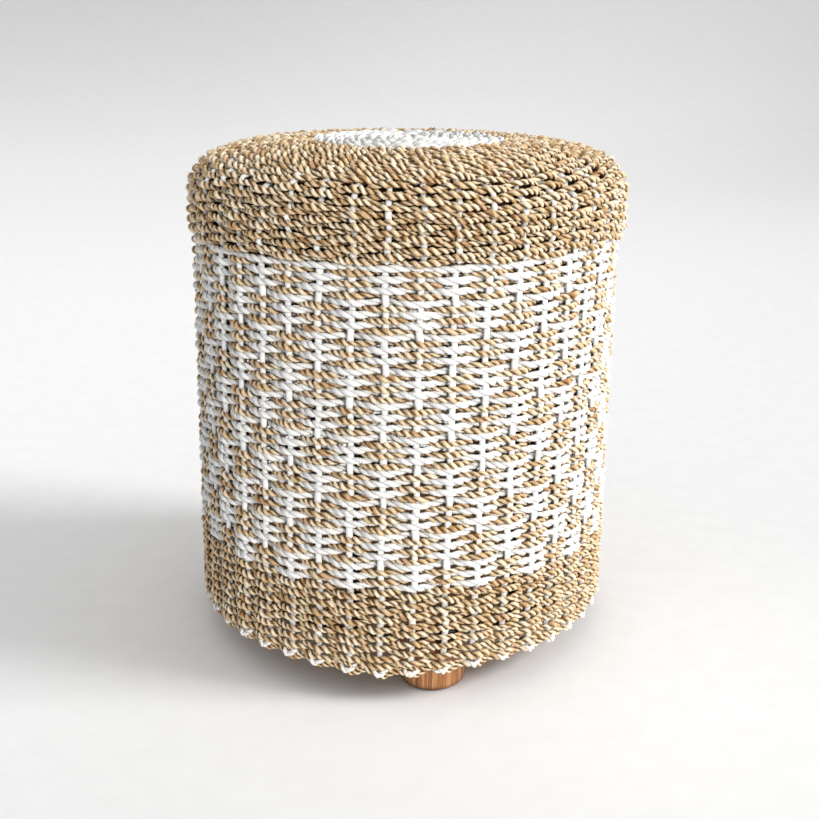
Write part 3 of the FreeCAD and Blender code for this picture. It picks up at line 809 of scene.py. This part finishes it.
def weave_hem():
    """Stake ends turned up in a V on the hem, and the edging rope that scallops under them."""
    rng = np.random.default_rng(SEED + 1)
    radius = HEM_RADIUS - WEAVE_INSET
    first = FIRST_STAKE + STAKE_LEAN
    edging = RopeMesh("hem_edging")
    turns = round(TURN * radius * EDGING_SLACK / EDGING.pitch)
    steps = turns * EDGING.steps_per_turn
    turn = TURN * np.arange(steps) / steps
    for rise, out, delay in EDGING_STRANDS:
        wave = STAKE_COUNT * (turn - first) - delay
        swing = EDGING_SWING * (1.0 + 0.35 * rings_of(rng.uniform(-1, 1, STAKE_COUNT), turn))
        height = HEM_BASE + rise - swing * np.cos(wave) - sag(turn, HEM_BASE)
        reach = radius + out - EDGING_SWAY * np.sin(wave)
        centre = np.stack([reach * np.sin(turn), -reach * np.cos(turn), height], axis=-1)
        outward = np.stack([np.sin(turn), -np.cos(turn), 0.0 * turn], axis=-1)
        add_rope(edging, centre, outward, EDGING, turns, rng)
    edging.build(seagrass, "base", "seagrass_natural", "hem_border")

    ends = RopeMesh("hem_stake_ends")
    for number in range(STAKE_COUNT):
        middle = first + TURN * number / STAKE_COUNT + rng.uniform(-0.6, 0.6) * MM / radius
        low = HEM_BASE + 0.6 * MM + rng.uniform(-0.5, 0.5) * MM
        reach = rng.uniform(6.0, 9.5) * MM
        strokes = ((-reach, rng.uniform(2.5, 4.5) * MM, 4.2 * MM),
                   (rng.uniform(5.0, 8.0) * MM, rng.uniform(4.0, 6.5) * MM, 3.4 * MM))
        for across, upward, out in strokes:
            share = np.linspace(-0.15, 1.0, 12)
            turns_at = middle + across * share / radius
            bulge = radius + out * np.cos(0.5 * math.pi * np.clip(share, 0.0, 1.0) ** 1.6)
            height = low + upward * share - sag(turns_at, HEM_BASE)
            centre = np.stack([bulge * np.sin(turns_at), -bulge * np.cos(turns_at), height], axis=-1)
            outward = np.stack([np.sin(turns_at), -np.cos(turns_at), 0.0 * turns_at], axis=-1)
            turns = math.hypot(across, upward) / STAKE_END.pitch
            add_rope(ends, centre, outward, STAKE_END, turns, rng, closed=False)
    ends.build(white_rope, "base", "seagrass_white")


def bind_rim():
    """Ropes laid around the top hoop inside the wall, where the lid rests."""
    rng = np.random.default_rng(SEED + 2)
    rim = RopeMesh("rim_binding_rope")
    height = (RIM_BASE + WALL_TOP) / 2.0 + 0.4 * MM
    for out in RIM_ROPES:
        radius = RIM_INNER + out
        turns = round(TURN * radius / BAND_SEAGRASS.pitch)
        steps = turns * BAND_SEAGRASS.steps_per_turn
        turn = TURN * np.arange(steps) / steps
        rise = height + 0.3 * MM * rings_of(rng.uniform(-1, 1, 30), turn)
        centre = np.stack([radius * np.sin(turn), -radius * np.cos(turn), rise], axis=-1)
        outward = np.stack([0.0 * turn, 0.0 * turn, 1.0 + 0.0 * turn], axis=-1)
        add_rope(rim, centre, outward, BAND_SEAGRASS, turns, rng)
    rim.build(seagrass, "base", "seagrass_natural", "rim_binding")


# ---------------------------------------------------------------- woven lid

def weave_lid():
    """Seagrass rows from the lid's lower edge over the shoulder, then the white centre."""
    rng = np.random.default_rng(SEED + 3)
    waves = Unevenness(rng, 1.0 * MM)
    edge = lid_line.where_radius(CENTRE_RADIUS)
    count = round(edge / LID_ROW_PITCH)
    pitch = (edge - LID_FIRST_ROW) / count
    for number in range(LID_PIECES):
        rows = range(count * number // LID_PIECES, count * (number + 1) // LID_PIECES)
        crown = RopeMesh(f"lid_seagrass_{number + 1}")
        for row in rows:
            along = LID_FIRST_ROW + (row + 0.4) * pitch
            add_weft(crown, lid_line, along, (row + 1) % 2, LID_SEAGRASS, rng, waves, rise=LID_RISE,
                     dive=LID_DIVE, wander=LID_WANDER)
        nodes = ("lid_skirt", "lid_crown") if number == 0 else ()
        crown.build(seagrass, "lid", "seagrass_natural", *nodes)
    stakes = RopeMesh("lid_stakes")
    for number in range(STAKE_COUNT):
        add_stake(stakes, lid_line, 1.5 * MM, edge + 3.0 * MM, number, rng, half_width=LID_STAKE_HALF_WIDTH,
                  hide=LID_STAKE_HIDE, rows=(LID_FIRST_ROW + 0.4 * pitch, pitch))

    centre = RopeMesh("lid_centre_white")
    along, row = edge + 2.2 * MM, 0
    while along < lid_line.length - 3.0 * MM:
        radius = float(lid_line.at(along)[0])
        spokes = [spokes for limit, spokes in CENTRE_SPOKES if radius <= limit + MM][-1]
        add_weft(centre, lid_line, along, row % 2, WHITE, rng, waves, spokes, CENTRE_RISE, CENTRE_DIVE)
        along += CENTRE_PITCH
        row += 1
    centre.build(white_rope, "lid", "seagrass_white", "lid_centre")
    for (limit, spokes), (inner, _) in zip(CENTRE_SPOKES, CENTRE_SPOKES[1:] + ((2.0 * MM, 0),)):
        for number in range(spokes):
            add_stake(stakes, lid_line, lid_line.where_radius(min(limit, 80.0 * MM)),
                      lid_line.where_radius(inner), number, rng, spokes, SPOKE_HALF_WIDTH)
    stakes.build(white_rope, "lid", "seagrass_white")


# ---------------------------------------------------------------- seat pad

def shell_of(name, line, low, material, slot, *nodes):
    """Closed crowned form under an outline, from a height up, with a flat underside."""
    sides, rings = 128, 60
    along = np.linspace(0.0, line.length, rings)
    radius, height, _, _ = line.at(along)
    height = np.maximum(height, low)
    radius = np.concatenate([[0.02, 0.6 * radius[0]], radius, [0.0005]])
    height = np.concatenate([[low, low], height, [height[-1]]])
    turn = TURN * np.arange(sides) / sides
    wrinkle = 0.4 * MM * np.sin(9 * turn)[None, :] * np.sin(height * 190.0)[:, None]
    reach = radius[:, None] + wrinkle * (radius > 0.03)[:, None]
    points = np.stack([reach * np.sin(turn), -reach * np.cos(turn), height[:, None] + 0.0 * turn], axis=-1)
    mesh = RopeMesh(name)
    mesh.add(points, distance_along(points[:, 0]), False)
    return mesh.build(material, "lid", slot, *nodes)


def upholster():
    """Foam dome on the lid board and its cotton cover."""
    face = Outline(lid_points())
    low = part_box("seat_pad")[0].z
    cover = shell_of("seat_pad_cover", face.inset(13.6 * MM), low + 0.1 * MM, cover_material(),
                     "pad_fabric", "pad_cover")
    foam = shell_of("seat_pad_foam", face.inset(15.2 * MM), low + 0.4 * MM, foam_material(),
                    "pad_foam", "seat_pad")


def finish_nodes():
    """Materials of the CAD pieces that stay."""
    finishes = {"teak": teak_material(), "plywood": plywood_material(),
                "frame_steel": coated_steel_material(), "fastener_steel": zinc_material()}
    for part in frame["record"]["subparts"]:
        node = frame["nodes"][part["node"]]
        if part["material_slot"] in finishes and not node.hide_render:
            node.data.materials.clear()
            node.data.materials.append(finishes[part["material_slot"]])


# ---------------------------------------------------------------- studio

CAMERA_PLACE = (0.0001, -1.0, 0.5302)
CAMERA_YAW = 0.00653                 # radians to the right of straight ahead
CAMERA_PITCH = math.radians(18.453)  # downward
CAMERA_ROLL = math.radians(0.404)
CAMERA_LENS = 48.68                  # millimetres on a 36 mm sensor
KEY_FROM = (0.829, -0.100, 0.545)    # direction towards the key light
COVE_FLAT = 3.2                      # metres of flat floor around the object
COVE_BEND = 3.1                      # radius of the sweep up to the wall
COVE_HEIGHT = 3.2


def add_camera():
    """Camera at the reference view."""
    data = bpy.data.cameras.new("camera")
    data.lens = CAMERA_LENS
    data.sensor_width = 36.0
    data.clip_start = 0.05
    data.clip_end = 60.0
    camera = bpy.data.objects.new("camera", data)
    bpy.context.scene.collection.objects.link(camera)
    ahead = Vector((math.sin(CAMERA_YAW) * math.cos(CAMERA_PITCH),
                    math.cos(CAMERA_YAW) * math.cos(CAMERA_PITCH), -math.sin(CAMERA_PITCH)))
    right = ahead.cross(Vector((0, 0, 1))).normalized()
    up = right.cross(ahead)
    right, up = (right * math.cos(CAMERA_ROLL) + up * math.sin(CAMERA_ROLL),
                 up * math.cos(CAMERA_ROLL) - right * math.sin(CAMERA_ROLL))
    turned = Matrix((right, up, -ahead)).transposed().to_4x4()
    camera.matrix_world = Matrix.Translation(CAMERA_PLACE) @ turned
    bpy.context.scene.camera = camera


def add_lamp(name, kind, place, target, energy, **values):
    """Lamp at a place, aimed at a point."""
    data = bpy.data.lights.new(name, kind)
    data.energy = energy
    for key, value in values.items():
        setattr(data, key, value)
    lamp = bpy.data.objects.new(name, data)
    bpy.context.scene.collection.objects.link(lamp)
    lamp.location = place
    lamp.rotation_euler = (Vector(target) - Vector(place)).to_track_quat("-Z", "Y").to_euler()
    return lamp


def add_floor():
    """Pale cove: a flat round floor with its sides swept up, square-cornered further out."""
    section = [(r, 0.0) for r in np.linspace(0.001, COVE_FLAT, 12)]
    section += [(COVE_FLAT + COVE_BEND * math.sin(t), COVE_BEND * (1.0 - math.cos(t)))
                for t in np.linspace(0.1, math.pi / 2, 14)]
    section = [(r, z) for r, z in section if z < COVE_HEIGHT]
    sides = 96
    turn = TURN * np.arange(sides) / sides
    square = (np.abs(np.sin(turn)) ** 6 + np.abs(np.cos(turn)) ** 6) ** (-1.0 / 6.0)
    points = [(r * s * math.sin(t), -r * s * math.cos(t), z)
              for r, z in section for s, t in zip(square, turn)]
    faces = []
    for ring in range(len(section) - 1):
        for side in range(sides):
            after = (side + 1) % sides
            faces.append((ring * sides + side, ring * sides + after,
                          (ring + 1) * sides + after, (ring + 1) * sides + side))
    faces.append(tuple(reversed(range(sides))))
    mesh = bpy.data.meshes.new("floor")
    mesh.from_pydata(points, [], faces)
    mesh.polygons.foreach_set("use_smooth", np.ones(len(faces), bool))
    mesh.materials.append(floor_material())
    floor = bpy.data.objects.new("floor", mesh)
    bpy.context.scene.collection.objects.link(floor)
    return floor


def add_studio():
    """Cove, soft key from the right, fill from the front, light sky, and two lamps for the floor alone."""
    floor = add_floor()
    add_lamp("key", "SUN", KEY_FROM, (0.0, 0.0, 0.0), 2.2, angle=math.radians(20.0))
    fill = add_lamp("fill", "AREA", (1.5, -2.8, 1.3), (0.0, 0.0, 0.25), 84.0, shape="DISK", size=1.0,
                    color=(1.0, 0.965, 0.91))
    fill.visible_camera = False
    unlit = bpy.data.collections.new("floor_without_fill")
    unlit.objects.link(floor)
    unlit.collection_objects[0].light_linking.link_state = "EXCLUDE"
    fill.light_linking.receiver_collection = unlit
    sky = add_lamp("floor_sky", "SUN", (0.0, 0.0, 4.0), (0.0, 0.0, 0.0), 0.97, angle=math.radians(120.0))
    spot = add_lamp("floor_spot", "SPOT", (1.1, -0.6, 0.8), (0.16, -0.22, 0.0), 16.5,
                    spot_size=math.radians(34.0), spot_blend=1.0, shadow_soft_size=0.25)
    floor_only = bpy.data.collections.new("floor_only")
    floor_only.objects.link(floor)
    for lamp in (sky, spot):
        lamp.light_linking.receiver_collection = floor_only
    world = bpy.data.worlds.new("studio")
    world.use_nodes = True
    background = world.node_tree.nodes["Background"]
    background.inputs["Color"].default_value = (1.0, 1.0, 1.0, 1.0)
    background.inputs["Strength"].default_value = 0.37
    bpy.context.scene.world = world
    bpy.context.scene.view_settings.view_transform = "Standard"


# ---------------------------------------------------------------- build

weave_wall()
weave_hem()
bind_rim()
weave_lid()
upholster()
finish_nodes()
add_camera()
add_studio()
